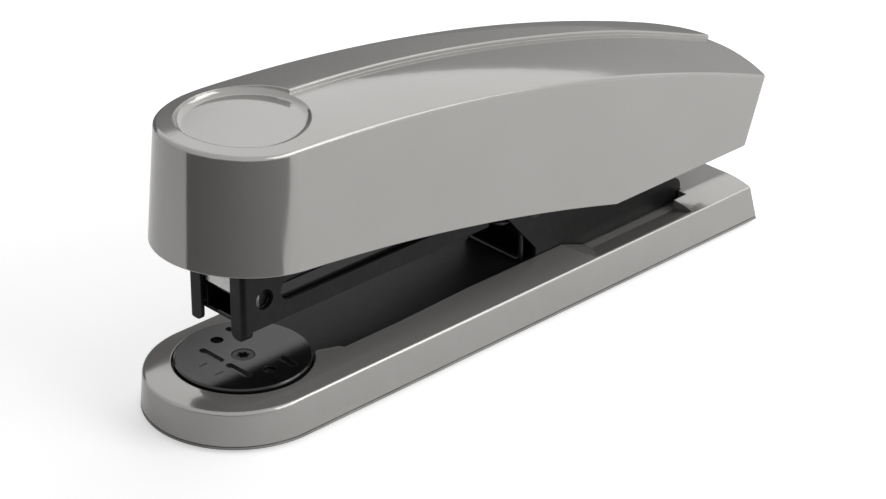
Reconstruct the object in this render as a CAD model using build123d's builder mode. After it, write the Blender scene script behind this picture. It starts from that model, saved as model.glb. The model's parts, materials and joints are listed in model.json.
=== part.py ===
from build123d import *
import os
from math import cos, hypot, radians, sin, sqrt

# A desk stapler as separate pieces, in millimetres. X runs across the stapler, Y from its
# stapling end (-Y) to its hinge end (+Y), and Z up from the table at Z = 0. The origin is
# the middle of the whole footprint. Lengths that end in _aft are measured rearwards from
# the centre of the base's rounded nose.

os.makedirs("parts", exist_ok=True)

# ---------------------------------------------------------------- driving dimensions
# Base
base_width = 40.0
base_length = 154.7
base_rim_height = 8.6
base_draft_run = 1.34
base_nose_tuck = 0.8
base_crown_rise = 1.1
base_crown_turn = 32.0
base_crown_rings = 5
base_crown_margin = 0.5
base_edge_radius = 0.7
base_wall = 2.0
base_floor_height = 7.0
base_floor_thickness = 1.8
sole_thickness = 1.5
sole_reveal_height = 0.2
sole_reveal_depth = 0.4
sole_foot_height = 0.8
sole_foot_inset = 2.5

# Staples: an ordinary desk size with a 12.9 mm crown and 6 mm legs
staple_half = 6.45
staple_leg = 6.0
staple_wire = 0.5
staple_pitch = 0.52
staple_count = 7
staple_side_gap = 0.15
staple_floor_gap = 0.1
staple_rail_gap = 0.05
staple_slot = 0.55
staple_swing_back = 0.5

# Hinge, its place set from the base's rear end and above the magazine's floor
hinge_inset = 24.7
hinge_rise = 6.6
hinge_pin_radius = 2.0
hinge_pin_overhang = 0.65
hinge_pin_chamfer = 0.3
hinge_ear_radius = 5.2
hinge_running_gap = 0.05
hinge_side_gap = 0.1
hinge_clip_radius = 3.6
hinge_clip_thickness = 0.5
hinge_spacer_radius = 3.6

# Magazine: a rise is a height above its floor, a depth a place behind its front end,
# and its rear end lies ahead of the hinge by its lead
housing_sheet = 0.8
housing_front_aft = -4.65
housing_rear_lead = 48.0
housing_floor_height = 20.4
housing_floor_thickness = 0.5
housing_side_gap = 0.4
housing_top_rise = 14.1
housing_rear_top_rise = 8.6
housing_top_rear_inset = 14.0
housing_mouth_half = 4.5
housing_bend_radius = 1.1
prong_length = 1.7
prong_depth = 2.25
prong_tip_radius = 1.4
sight_hole_depth = 5.5
sight_hole_rise = 6.0
sight_hole_radius = 2.15
window_front_depth = 9.65
window_rear_inset = 2.0
window_rise = 6.0
window_width = 4.4
channel_sheet = 0.5
channel_front_gap = 0.9
channel_wall_rise = 6.9
channel_tall_rise = 10.6
channel_step_gap = 2.0
channel_step_run = 4.0
channel_tail_reach = 5.0
rail_side_gap = 0.35
rail_sheet = 0.5
rail_lead = 0.25
rail_rear_gap = 0.4
magazine_rivet_radius = 1.2
magazine_rivet_head_radius = 2.0
magazine_rivet_head_height = 0.6
magazine_rivet_front_depth = 16.65
magazine_rivet_rear_inset = 12.0

# Pusher, its guide rod and spring
pusher_length = 9.5
pusher_side_gap = 0.2
pusher_floor_gap = 0.3
pusher_rail_gap = 0.2
pusher_top_rise = 12.2
pusher_front_gap = 0.05
rod_radius = 1.0
rod_rise = 9.8
rod_front_gap = 1.0
rod_running_gap = 0.08
rod_tail = 1.2
holder_inset = 4.0
holder_thickness = 1.6
holder_foot_length = 8.6
holder_foot_thickness = 0.9
holder_side_gap = 0.05
holder_top_rise = 12.8
holder_rivet_reach = 6.3
follower_coil_radius = 1.9
follower_wire = 0.45
follower_pitch = 1.8

# Anvil
anvil_aft = 1.8
anvil_radius = 13.85
anvil_ring_gap = 0.5
anvil_thickness = 1.9
anvil_running_gap = 0.1
anvil_edge_chamfer = 0.3
groove_inner = 0.7
groove_outer = 7.5
groove_width = 1.5
groove_depth = 0.5
pin_groove_inner = 5.6
pin_groove_outer = 10.6
eyelet_offset = 8.1
eyelet_radius = 1.3
eyelet_depth = 1.0
tick_offset = 2.4
tick_length = 2.0
tick_width = 0.3
tick_depth = 0.15
tick_lead = 3.6
anvil_screw_radius = 1.5
anvil_screw_head_radius = 2.3
anvil_screw_head_depth = 1.0
anvil_screw_head_rim = 0.15
anvil_screw_sink = 0.1
anvil_screw_gap = 0.06
anvil_screw_drive_radius = 1.3
anvil_screw_drive_depth = 0.7
anvil_screw_core_radius = 0.91
anvil_screw_lobe_radius = 0.364
anvil_screw_lobes = 6
anvil_nut_flats = 5.5
anvil_nut_thickness = 2.3
anvil_nut_sides = 6

# Bracket that carries the hinge: places and heights are set from the hinge's axis
bracket_side_gap = 0.8
bracket_sheet = 0.8
bracket_foot_sink = 1.1
bracket_rear_reach = 9.8
bracket_tail_height = 13.2
bracket_tail_radius = 2.6
bracket_post_reach = 5.1
bracket_front_lead = 35.6
bracket_knee_height = 11.6
bracket_lip_lead = 43.8
bracket_lip_drop = 5.9
bracket_shoulder_drop = 2.0
bracket_top_front_lead = 40.0
bracket_top_front_rise = 1.0
bracket_web_thickness = 0.8
bracket_rivet_radius = 1.5
bracket_rivet_head_radius = 2.5
bracket_rivet_head_height = 0.8
bracket_rivet_half = 5.0
bracket_rivet_front_lead = 24.0
bracket_rivet_rear_reach = 1.0

# Stop pin and stub pins of the lift spring
stop_pin_lead = 26.0
stop_pin_drop = 2.0
stop_pin_radius = 1.5
stop_slot_gap = 0.3
stop_slot_travel = 2.4
stub_lead = 36.0
stub_drop = 5.7
stub_radius = 1.5
stub_head_radius = 2.1
stub_head_height = 0.5
stub_inner_gap = 0.25
lift_wire_radius = 0.5
lift_coil_gap = 0.15
lift_coil_turns = 2
lift_coil_pitch = 0.95
lift_bar_lead = 38.3
lift_hook_lead = 45.0
lift_hook_length = 2.4
lift_bend_radius = 1.2
lift_seat_gap = 0.05

# Channel in the top of the base, and the steel plate that lies in it
channel_neck_half = 8.0
channel_neck_aft = 14.4
channel_step_half = 9.7
channel_step_aft = 18.5
channel_wide_aft = 19.1
channel_taper_aft = 34.0
channel_narrow_aft = 55.0
channel_wide_gap = 0.9
channel_narrow_gap = 0.2
channel_rear_gap = 0.3
plate_thickness = 1.4
plate_clearance = 0.15
plate_tail_lead = 29.5
plate_tail_side_gap = 0.3
plate_tail_clearance = 2.0

# Scoops beside the bracket, where the cover's tail swings down
scoop_rim_margin = 0.76
scoop_floor_gap = 2.6
scoop_floor_height = 7.2
scoop_start_lead = 28.0
scoop_slope_length = 7.0
scoop_wall_reach = 4.8
scoop_rear_inset = 0.9

# Steel frame under the cover, with the driver
frame_side_gap = 0.8
frame_sheet = 1.0
frame_front_drop = 14.4
frame_rear_reach = 5.0
frame_rear_rise = 8.5
frame_side_drop = 7.0
frame_belly_lead = 12.0
frame_belly_drop = 3.4
driver_thickness = 0.4
driver_front_gap = 0.25
driver_side_gap = 0.05
driver_neck_gap = 0.3
driver_foot_height = 3.4
driver_rest_gap = 0.2
driver_top_margin = 0.8
driver_tab_drop = 8.0
driver_rivet_radius = 1.0
driver_rivet_head_radius = 1.7
driver_rivet_head_height = 0.6
driver_rivet_offset = 2.3
driver_rivet_drop = 4.2
boss_radius = 3.6
boss_front_aft = 30.0
boss_rear_lead = 18.0
cover_screw_radius = 1.4
cover_screw_head_radius = 2.6
cover_screw_head_height = 1.4
cover_screw_length = 7.0
cover_spring_lead = 37.0
cover_spring_radius = 3.0
cover_spring_wire = 0.7
cover_spring_pitch = 2.4
cover_spring_gap = 0.1

# Cover
cover_side_inset = 0.2
cover_side_draft = 3.27
cover_nose_aft = 2.88
cover_nose_height = 60.9
cover_top_bulge = 6.55
cover_tail_reach = 27.4
cover_tail_rise = 8.0
cover_tail_foot_reach = 20.5
cover_tail_bow = 3.0
cover_foot_bow = 0.5
cover_crown = 2.4
cover_nose_crown = 1.2
cover_crown_run = 60.0
cover_station_margin = 8.0
cover_station_shares = (0, 0.06, 0.1, 0.125, 0.15, 0.175, 0.2, 0.25, 0.35, 0.5, 0.65, 0.8, 1)
cover_front_edge_gap = 3.0
cover_edge_bulge = 2.85
cover_skirt_drop = 6.4
cover_skirt_lead = 21.5
cover_wall = 2.2
cover_edge_radius = 0.8
cover_tail_radius = 1.5
cover_raise = 1.0
cover_step_x = -1.7
cover_step_edge_radius = 0.35
cover_ramp_start_aft = -9.0
cover_ramp_end_aft = 7.0
cover_nose_raise = 0.06
dish_aft = 3.9
dish_radius = 13.4
dish_floor_fillet = 1.5
dish_depth = 1.4
tail_notch_gap = 0.6
tail_notch_rise = 5.4

# Coil springs drawn as sleeves: the sleeve's thickness as a share of the wire
coil_sleeve_share = 0.5

# How closely an edge is picked out by its height
pick_tolerance = 0.01

# ---------------------------------------------------------------- derived values
# Base
base_half = base_width / 2
base_slope = base_draft_run / base_rim_height
base_rear = base_length - base_half
base_ceiling = base_floor_height - base_floor_thickness
rim_half = base_half - base_draft_run
plate_top = base_floor_height + plate_thickness

# Widths, from the staples outwards
channel_half = staple_half + staple_side_gap + channel_sheet
channel_inner = channel_half - channel_sheet
rail_half = staple_half - staple_wire - rail_side_gap
housing_half = channel_half + housing_side_gap + housing_sheet
bracket_inner = housing_half + bracket_side_gap
bracket_half = bracket_inner + bracket_sheet
frame_inner = bracket_half + frame_side_gap
frame_half = frame_inner + frame_sheet
driver_half = staple_half - driver_side_gap
driver_neck_half = housing_mouth_half - driver_neck_gap
driver_tab_half = driver_neck_half
cover_low_half = base_half - cover_side_inset
cover_top_half = cover_low_half - cover_side_draft
channel_narrow_half = bracket_half + channel_narrow_gap
channel_wide_half = bracket_half + channel_wide_gap
plate_tail_half = bracket_inner - plate_tail_side_gap
scoop_floor_half = bracket_half + scoop_floor_gap
scoop_outer_half = rim_half - scoop_rim_margin
tail_notch_half = bracket_half + tail_notch_gap

# Places along the stapler
hinge_aft = base_rear - hinge_inset
bracket_rear_aft = hinge_aft + bracket_rear_reach
bracket_post_aft = hinge_aft + bracket_post_reach
bracket_front_aft = hinge_aft - bracket_front_lead
bracket_lip_aft = hinge_aft - bracket_lip_lead
bracket_top_front_aft = hinge_aft - bracket_top_front_lead
bracket_rivet_aft = (hinge_aft - bracket_rivet_front_lead, hinge_aft + bracket_rivet_rear_reach)
stop_pin_aft = hinge_aft - stop_pin_lead
stub_aft = hinge_aft - stub_lead
lift_bar_aft = hinge_aft - lift_bar_lead
lift_hook_aft = hinge_aft - lift_hook_lead
channel_rear_aft = bracket_rear_aft + channel_rear_gap
plate_tail_aft = hinge_aft - plate_tail_lead
scoop_start_aft = hinge_aft - scoop_start_lead
scoop_wall_aft = hinge_aft + scoop_wall_reach
scoop_rear_aft = bracket_rear_aft - scoop_rear_inset
housing_rear_aft = hinge_aft - housing_rear_lead
housing_top_rear_aft = housing_rear_aft - housing_top_rear_inset
prong_rear_aft = housing_front_aft + prong_depth
sight_hole_aft = housing_front_aft + sight_hole_depth
window_front_aft = housing_front_aft + window_front_depth
window_rear_aft = housing_rear_aft - window_rear_inset
magazine_rivet_aft = (
    housing_front_aft + magazine_rivet_front_depth,
    housing_rear_aft - magazine_rivet_rear_inset,
)
frame_front_aft = housing_front_aft + housing_sheet + driver_front_gap + driver_thickness
frame_rear_aft = hinge_aft + frame_rear_reach
frame_belly_aft = hinge_aft - frame_belly_lead
staple_line_aft = frame_front_aft - driver_thickness / 2 + staple_swing_back
staple_front_aft = frame_front_aft + staple_slot
staple_rear_aft = staple_front_aft + (staple_count - 1) * staple_pitch + staple_wire
channel_front_aft = frame_front_aft + channel_front_gap
channel_step_up_aft = housing_rear_aft + channel_step_gap
channel_tall_aft = channel_step_up_aft + channel_step_run
channel_tail_aft = hinge_aft + channel_tail_reach
rail_front_aft = channel_front_aft - rail_lead
holder_front_aft = housing_rear_aft - holder_inset
holder_rivet_aft = holder_front_aft + holder_rivet_reach
rail_rear_aft = holder_front_aft - rail_rear_gap
pusher_front_aft = staple_rear_aft + pusher_front_gap
pusher_rear_aft = pusher_front_aft + pusher_length
boss_aft = (boss_front_aft, hinge_aft - boss_rear_lead)
cover_spring_aft = hinge_aft - cover_spring_lead
cover_reach = hinge_aft + cover_tail_reach
cover_tail_foot_aft = hinge_aft + cover_tail_foot_reach
cover_skirt_aft = hinge_aft - cover_skirt_lead

# Heights
anvil_bottom = plate_top + anvil_running_gap
anvil_top = anvil_bottom + anvil_thickness
pocket_radius = anvil_radius + anvil_ring_gap
screw_top = anvil_top - anvil_screw_sink
hinge_height = housing_floor_height + hinge_rise
stop_pin_height = hinge_height - stop_pin_drop
stop_slot_radius = stop_pin_radius + stop_slot_gap
stub_height = hinge_height - stub_drop
bracket_foot_height = plate_top - bracket_foot_sink
bracket_lip_height = hinge_height - bracket_lip_drop
bracket_shoulder_height = hinge_height - bracket_shoulder_drop
bracket_top_front_height = hinge_height + bracket_top_front_rise
bracket_web_top = plate_top + bracket_web_thickness
prong_tip_height = housing_floor_height - prong_length
housing_top_height = housing_floor_height + housing_top_rise
housing_rear_top_height = housing_floor_height + housing_rear_top_rise
sight_hole_height = housing_floor_height + sight_hole_rise
window_height = housing_floor_height + window_rise
channel_floor = housing_floor_height + housing_floor_thickness
channel_wall_height = housing_floor_height + channel_wall_rise
channel_tall_height = housing_floor_height + channel_tall_rise
staple_floor = channel_floor + channel_sheet
staple_bottom = staple_floor + staple_floor_gap
staple_top = staple_bottom + staple_leg
rail_top = staple_top - staple_wire - staple_rail_gap
pusher_top_height = housing_floor_height + pusher_top_rise
rod_height = housing_floor_height + rod_rise
holder_top_height = housing_floor_height + holder_top_rise
driver_bottom = staple_top + driver_rest_gap
frame_front_height = cover_nose_height - frame_front_drop
frame_rear_height = hinge_height + frame_rear_rise
frame_belly_height = hinge_height - frame_belly_drop
frame_slope = (frame_front_height - frame_rear_height) / (frame_rear_aft - frame_front_aft)
cover_tail_height = hinge_height + cover_tail_rise
cover_middle_height = (cover_nose_height + cover_tail_height) / 2 + cover_top_bulge
cover_skirt_height = hinge_height - cover_skirt_drop
tail_notch_height = cover_skirt_height + tail_notch_rise
cover_front_edge_height = housing_top_height + cover_front_edge_gap
cover_middle_edge_height = (cover_front_edge_height + cover_skirt_height) / 2 + cover_edge_bulge
cover_draft = cover_side_draft / (cover_nose_height - cover_skirt_height)

# The whole stapler, from the base's nose to the cover's tail, has its middle at Y = 0
cover_tail_lean = (cover_reach - cover_tail_foot_aft) / (cover_tail_height - cover_skirt_height)
cover_end_aft = cover_reach + cover_tail_bow + cover_tail_lean * (cover_crown + cover_raise)
nose_y = (base_half - base_nose_tuck - cover_end_aft) / 2


def aft(distance):
    """Y of a place this far behind the centre of the base's nose."""
    return nose_y + distance


def web_top(distance):
    """Height of the cover frame's upper face this far behind the nose centre."""
    return frame_front_height - frame_slope * (distance - frame_front_aft)


def tongue(half, centre_aft, rear_aft, bow=0):
    """Plan outline with a half-round front, straight sides and a square or bowed rear."""
    with BuildSketch() as outline:
        with BuildLine():
            Line((half, aft(rear_aft)), (half, aft(centre_aft)))
            ThreePointArc(
                (half, aft(centre_aft)), (0, aft(centre_aft) - half), (-half, aft(centre_aft))
            )
            Line((-half, aft(centre_aft)), (-half, aft(rear_aft)))
            if bow:
                ThreePointArc((-half, aft(rear_aft)), (0, aft(rear_aft + bow)), (half, aft(rear_aft)))
            else:
                Line((-half, aft(rear_aft)), (half, aft(rear_aft)))
        make_face()
    return outline.sketch


def side_profile(points):
    """Closed outline in the side view from (aft, height) pairs."""
    with BuildSketch() as outline:
        with BuildLine():
            Polyline(*[(aft(a), z) for a, z in points], close=True)
        make_face()
    return outline.sketch


def channel_plan(clearance):
    """Plan of the base's channel: the round anvil pocket with a stepped strip behind it."""
    edge = [
        (channel_neck_half, anvil_aft),
        (channel_neck_half, channel_neck_aft),
        (channel_step_half, channel_step_aft),
        (channel_wide_half, channel_wide_aft),
        (channel_wide_half, channel_taper_aft),
        (channel_narrow_half, channel_narrow_aft),
        (channel_narrow_half, channel_rear_aft),
    ]
    near = [(x - clearance, aft(a)) for x, a in edge]
    near[-1] = (near[-1][0], near[-1][1] - clearance)
    far = [(-x, y) for x, y in reversed(near)]
    with BuildSketch() as outline:
        with Locations((0, aft(anvil_aft))):
            Circle(pocket_radius - clearance)
        with BuildLine():
            Polyline(*near, *far, close=True)
        make_face()
    return outline.sketch


def circle_through(first, second, third):
    """Centre and radius of the circle through three (aft, height) points."""
    (ax, ay), (bx, by), (cx, cy) = first, second, third
    cross = 2 * (ax * (by - cy) + bx * (cy - ay) + cx * (ay - by))
    a2, b2, c2 = ax**2 + ay**2, bx**2 + by**2, cx**2 + cy**2
    centre_x = (a2 * (by - cy) + b2 * (cy - ay) + c2 * (ay - by)) / cross
    centre_y = (a2 * (cx - bx) + b2 * (ax - cx) + c2 * (bx - ax)) / cross
    return centre_x, centre_y, hypot(ax - centre_x, ay - centre_y)


def save(piece, name):
    """Label a finished piece and write it to its own file."""
    piece.part.label = name
    export_step(piece.part, f"parts/{name}.step")


# ---------------------------------------------------------------- base
def half_at(height):
    """Half width of the base's drafted wall at a height."""
    return base_half - base_slope * height


def base_outline(height):
    """Plan outline of the base's drafted wall at a height."""
    half = half_at(height)
    nose_aft = base_nose_tuck * (1 - height / base_rim_height)
    return tongue(half, nose_aft, base_rear - base_half + half)


def crown_ring(share):
    """Half width and height of the crown: 0 at the rim, 1 where it is level by the channel."""
    level_half = channel_wide_half + base_crown_margin
    turn = radians(base_crown_turn)
    left = (1 - share) * turn
    ring_half = level_half + (rim_half - level_half) * sin(left) / sin(turn)
    drop = base_crown_rise * (1 - cos(left)) / (1 - cos(turn))
    return ring_half, base_rim_height + base_crown_rise - drop


def scoop_cut():
    """Space beside the bracket: sloped start, steep rear wall, floor that rises outwards."""
    scoop_top = 2 * (base_rim_height + base_crown_rise)
    side = (
        (scoop_start_aft, base_rim_height + base_crown_rise),
        (scoop_start_aft + scoop_slope_length, scoop_floor_height),
        (scoop_rear_aft, scoop_floor_height),
        (scoop_rear_aft, scoop_top),
        (scoop_start_aft, scoop_top),
    )
    with BuildPart() as scoop:
        with BuildSketch(Plane.YZ):
            add(side_profile(side))
        extrude(amount=scoop_outer_half, both=True)
        with BuildSketch(Plane.XZ.offset(-aft(scoop_start_aft))):
            with BuildLine():
                Polyline(
                    (-scoop_outer_half, scoop_top),
                    (-scoop_outer_half, base_rim_height),
                    (-scoop_floor_half, scoop_floor_height),
                    (scoop_floor_half, scoop_floor_height),
                    (scoop_outer_half, base_rim_height),
                    (scoop_outer_half, scoop_top),
                    close=True,
                )
            make_face()
        extrude(amount=-(scoop_wall_aft - scoop_start_aft), mode=Mode.INTERSECT)
        with BuildSketch(Plane.XY.offset(scoop_floor_height)):
            with Locations((0, aft(scoop_rear_aft))):
                Rectangle(
                    2 * scoop_floor_half,
                    scoop_rear_aft - scoop_start_aft - scoop_slope_length,
                    align=(Align.CENTER, Align.MAX),
                )
        extrude(amount=scoop_top - scoop_floor_height)
    return scoop.part


def bracket_rivet_places():
    """Centres of the rivets that hold the bracket, plate and base shell together."""
    return [(x, aft(a), 0) for x in (-bracket_rivet_half, bracket_rivet_half) for a in bracket_rivet_aft]


with BuildPart() as sole_pad:
    sole_top = sole_thickness - sole_reveal_height
    with BuildSketch(Plane.XY):
        add(base_outline(0))
        offset(amount=-sole_foot_inset)
    extrude(amount=sole_foot_height)
    with BuildSketch(Plane.XY.offset(sole_foot_height)):
        add(base_outline(sole_foot_height))
    with BuildSketch(Plane.XY.offset(sole_top)):
        add(base_outline(sole_top))
    loft(ruled=True)
    with BuildSketch(Plane.XY.offset(sole_top)):
        add(base_outline(sole_top))
        offset(amount=-sole_reveal_depth)
    extrude(amount=sole_reveal_height)
save(sole_pad, "sole_pad")

with BuildPart() as base_shell:
    with BuildSketch(Plane.XY.offset(sole_thickness)):
        add(base_outline(sole_thickness))
    with BuildSketch(Plane.XY.offset(base_rim_height)):
        add(base_outline(base_rim_height))
    loft(ruled=True)
    for ring in range(base_crown_rings + 1):
        ring_half, ring_height = crown_ring(ring / base_crown_rings)
        with BuildSketch(Plane.XY.offset(ring_height)):
            add(tongue(ring_half, 0, base_rear - base_draft_run))
    loft()
    rim_edges = base_shell.edges().filter_by_position(
        Axis.Z, base_rim_height - pick_tolerance, base_rim_height + pick_tolerance
    )
    fillet(rim_edges.sort_by(Axis.Y)[:-1], radius=base_edge_radius)
    with BuildSketch(Plane.XY.offset(sole_thickness)):
        add(base_outline(sole_thickness))
        offset(amount=-base_wall)
    extrude(amount=base_ceiling - sole_thickness, mode=Mode.SUBTRACT)
    with BuildSketch(Plane.XY.offset(base_floor_height)):
        add(channel_plan(0))
    extrude(amount=base_width, mode=Mode.SUBTRACT)
    add(scoop_cut(), mode=Mode.SUBTRACT)
    with Locations((0, aft(anvil_aft), 0)):
        Cylinder(anvil_screw_radius, 2 * base_width, mode=Mode.SUBTRACT)
    with Locations(*bracket_rivet_places()):
        Cylinder(bracket_rivet_radius, 2 * base_width, mode=Mode.SUBTRACT)
save(base_shell, "base_shell")

with BuildPart() as base_plate:
    with BuildSketch(Plane.XY.offset(base_floor_height)):
        add(channel_plan(plate_clearance))
        for side in (-1, 1):
            with Locations((side * (plate_tail_half + base_half), aft(plate_tail_aft))):
                Rectangle(base_width, base_length, align=(Align.CENTER, Align.MIN), mode=Mode.SUBTRACT)
        with Locations((0, aft(bracket_rear_aft - plate_tail_clearance))):
            Rectangle(base_width, base_length, align=(Align.CENTER, Align.MIN), mode=Mode.SUBTRACT)
        with Locations((0, aft(anvil_aft))):
            Circle(anvil_screw_radius, mode=Mode.SUBTRACT)
        with Locations(*[(x, y) for x, y, z in bracket_rivet_places()]):
            Circle(bracket_rivet_radius, mode=Mode.SUBTRACT)
    extrude(amount=plate_thickness)
save(base_plate, "base_plate")


# ---------------------------------------------------------------- anvil
def groove_sketch(inner, outer, sign):
    """Two round-ended clinching grooves, one each side of the middle."""
    with BuildSketch() as grooves:
        middle_y = aft(anvil_aft) + sign * (staple_line_aft - anvil_aft)
        with Locations(((inner + outer) / 2, middle_y), (-(inner + outer) / 2, middle_y)):
            SlotOverall(outer - inner, groove_width)
    return grooves.sketch


def anvil_screw_form(clearance, top):
    """Countersunk screw on the anvil's axis, or with a clearance the hole that it turns in."""
    shank = anvil_screw_radius + clearance
    head = anvil_screw_head_radius + clearance
    shank_foot = base_ceiling - anvil_nut_thickness
    with BuildPart() as screw:
        with BuildSketch(Plane.XZ.offset(-aft(anvil_aft))):
            with BuildLine():
                Polyline(
                    (0, shank_foot),
                    (shank, shank_foot),
                    (shank, screw_top - anvil_screw_head_depth),
                    (head, screw_top - anvil_screw_head_rim),
                    (head, top),
                    (0, top),
                    close=True,
                )
            make_face()
        revolve(axis=Axis((0, aft(anvil_aft), 0), (0, 0, 1)))
    return screw.part


with BuildPart() as anvil_plate:
    with BuildSketch(Plane.XY.offset(anvil_bottom)):
        with Locations((0, aft(anvil_aft))):
            Circle(anvil_radius)
    extrude(amount=anvil_thickness)
    chamfer(anvil_plate.edges().group_by(Axis.Z)[-1], anvil_edge_chamfer)
    with BuildSketch(Plane.XY.offset(anvil_top)):
        add(groove_sketch(groove_inner, groove_outer, 1))
        add(groove_sketch(pin_groove_inner, pin_groove_outer, -1))
    extrude(amount=-groove_depth, mode=Mode.SUBTRACT)
    with BuildSketch(Plane.XY.offset(anvil_top)):
        with Locations((-eyelet_offset, aft(anvil_aft)), (eyelet_offset, aft(anvil_aft))):
            Circle(eyelet_radius)
    extrude(amount=-eyelet_depth, mode=Mode.SUBTRACT)
    with BuildSketch(Plane.XY.offset(anvil_top)):
        tick_y = aft(staple_line_aft - tick_lead)
        with Locations((-tick_offset, tick_y), (tick_offset, tick_y)):
            Rectangle(tick_width, tick_length)
    extrude(amount=-tick_depth, mode=Mode.SUBTRACT)
    add(anvil_screw_form(anvil_screw_gap, anvil_top + anvil_thickness), mode=Mode.SUBTRACT)
save(anvil_plate, "anvil_plate")

with BuildPart() as anvil_screw:
    add(anvil_screw_form(0, screw_top))
    with BuildSketch(Plane.XY.offset(screw_top)):
        with Locations((0, aft(anvil_aft))):
            Circle(anvil_screw_core_radius)
            with PolarLocations(anvil_screw_drive_radius - anvil_screw_lobe_radius, anvil_screw_lobes):
                Circle(anvil_screw_lobe_radius)
    extrude(amount=-anvil_screw_drive_depth, mode=Mode.SUBTRACT)
save(anvil_screw, "anvil_screw")

with BuildPart() as anvil_nut:
    with BuildSketch(Plane.XY.offset(base_ceiling)):
        with Locations((0, aft(anvil_aft))):
            RegularPolygon(anvil_nut_flats / 2, anvil_nut_sides, major_radius=False)
            Circle(anvil_screw_radius, mode=Mode.SUBTRACT)
    extrude(amount=-anvil_nut_thickness)
save(anvil_nut, "anvil_nut")


# ---------------------------------------------------------------- bracket and hinge
def cross_hole(place_aft, height, radius):
    """A round hole right through the part along X, for a pin at this place."""
    with BuildSketch(Plane.YZ) as hole:
        with Locations((aft(place_aft), height)):
            Circle(radius)
    return extrude(hole.sketch, amount=base_width, both=True, mode=Mode.PRIVATE)


def cross_rod(place_aft, height, radius, start, end):
    """A round rod along X from one X to another."""
    with BuildPart() as rod:
        with BuildSketch(Plane.YZ.offset(start)):
            with Locations((aft(place_aft), height)):
                Circle(radius)
        extrude(amount=end - start)
    return rod.part


with BuildPart() as bracket:
    with BuildSketch(Plane.YZ.offset(bracket_inner)):
        add(
            side_profile(
                (
                    (bracket_front_aft, plate_top),
                    (plate_tail_aft, plate_top),
                    (plate_tail_aft, bracket_foot_height),
                    (bracket_rear_aft, bracket_foot_height),
                    (bracket_rear_aft, bracket_tail_height),
                    (bracket_post_aft, bracket_tail_height),
                    (bracket_post_aft, hinge_height),
                    (hinge_aft, hinge_height + hinge_ear_radius),
                    (bracket_top_front_aft, bracket_top_front_height),
                    (bracket_lip_aft, bracket_shoulder_height),
                    (bracket_lip_aft, bracket_lip_height),
                    (bracket_front_aft, bracket_knee_height),
                )
            )
        )
        tail_corner = (aft(bracket_rear_aft), bracket_tail_height)
        fillet(vertices().sort_by_distance(tail_corner)[0], radius=bracket_tail_radius)
        with Locations((aft(hinge_aft), hinge_height)):
            Circle(hinge_ear_radius)
    extrude(amount=bracket_sheet)
    mirror(about=Plane.YZ)
    with BuildSketch(Plane.XY.offset(plate_top)):
        with Locations((0, aft(plate_tail_aft))):
            Rectangle(
                2 * bracket_inner,
                bracket_post_aft - plate_tail_aft,
                align=(Align.CENTER, Align.MIN),
            )
        with Locations(*[(x, y) for x, y, z in bracket_rivet_places()]):
            Circle(bracket_rivet_radius, mode=Mode.SUBTRACT)
    extrude(amount=bracket_web_thickness)
    add(cross_hole(hinge_aft, hinge_height, hinge_pin_radius), mode=Mode.SUBTRACT)
    add(cross_hole(stop_pin_aft, stop_pin_height, stop_pin_radius), mode=Mode.SUBTRACT)
    add(cross_hole(stub_aft, stub_height, stub_radius), mode=Mode.SUBTRACT)
save(bracket, "bracket")

with BuildPart() as bracket_rivets:
    for x, y, z in bracket_rivet_places():
        with Locations((x, y, base_ceiling)):
            Cylinder(
                bracket_rivet_radius,
                bracket_web_top - base_ceiling,
                align=(Align.CENTER, Align.CENTER, Align.MIN),
            )
            Cylinder(
                bracket_rivet_head_radius,
                bracket_rivet_head_height,
                align=(Align.CENTER, Align.CENTER, Align.MAX),
            )
        with Locations((x, y, bracket_web_top)):
            Cylinder(
                bracket_rivet_head_radius,
                bracket_rivet_head_height,
                align=(Align.CENTER, Align.CENTER, Align.MIN),
            )
save(bracket_rivets, "bracket_rivets")

clip_start = frame_half + hinge_side_gap
pin_half = clip_start + hinge_clip_thickness + hinge_pin_overhang
with BuildPart() as hinge_pin:
    add(cross_rod(hinge_aft, hinge_height, hinge_pin_radius, -pin_half, pin_half))
    chamfer(hinge_pin.edges().filter_by(GeomType.CIRCLE), hinge_pin_chamfer)
save(hinge_pin, "hinge_pin")

with BuildPart() as hinge_clips:
    clip_end = clip_start + hinge_clip_thickness
    add(cross_rod(hinge_aft, hinge_height, hinge_clip_radius, clip_start, clip_end))
    add(cross_hole(hinge_aft, hinge_height, hinge_pin_radius), mode=Mode.SUBTRACT)
    mirror(about=Plane.YZ)
save(hinge_clips, "hinge_clips")

with BuildPart() as hinge_spacers:
    spacer_start = channel_half + hinge_side_gap
    spacer_end = bracket_inner - hinge_side_gap
    add(cross_rod(hinge_aft, hinge_height, hinge_spacer_radius, spacer_start, spacer_end))
    add(cross_hole(hinge_aft, hinge_height, hinge_pin_radius + hinge_running_gap), mode=Mode.SUBTRACT)
    mirror(about=Plane.YZ)
save(hinge_spacers, "hinge_spacers")

with BuildPart() as stop_pin:
    add(cross_rod(stop_pin_aft, stop_pin_height, stop_pin_radius, -bracket_half, bracket_half))
save(stop_pin, "stop_pin")

with BuildPart() as spring_studs:
    stud_start = channel_half + stub_inner_gap
    add(cross_rod(stub_aft, stub_height, stub_radius, stud_start, bracket_half))
    add(cross_rod(stub_aft, stub_height, stub_head_radius, bracket_half, bracket_half + stub_head_height))
    mirror(about=Plane.YZ)
save(spring_studs, "spring_studs")

lift_x = (channel_half + bracket_inner) / 2
lift_coil_radius = stub_radius + lift_coil_gap + lift_wire_radius


def wire(points, bend_radius, wire_radius):
    """Round wire bent along straight runs, with every corner rounded."""
    with BuildPart() as bent:
        with BuildLine() as path:
            FilletPolyline(*points, radius=bend_radius)
        with BuildSketch(path.line ^ 0):
            Circle(wire_radius)
        sweep()
    return bent.part


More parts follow.
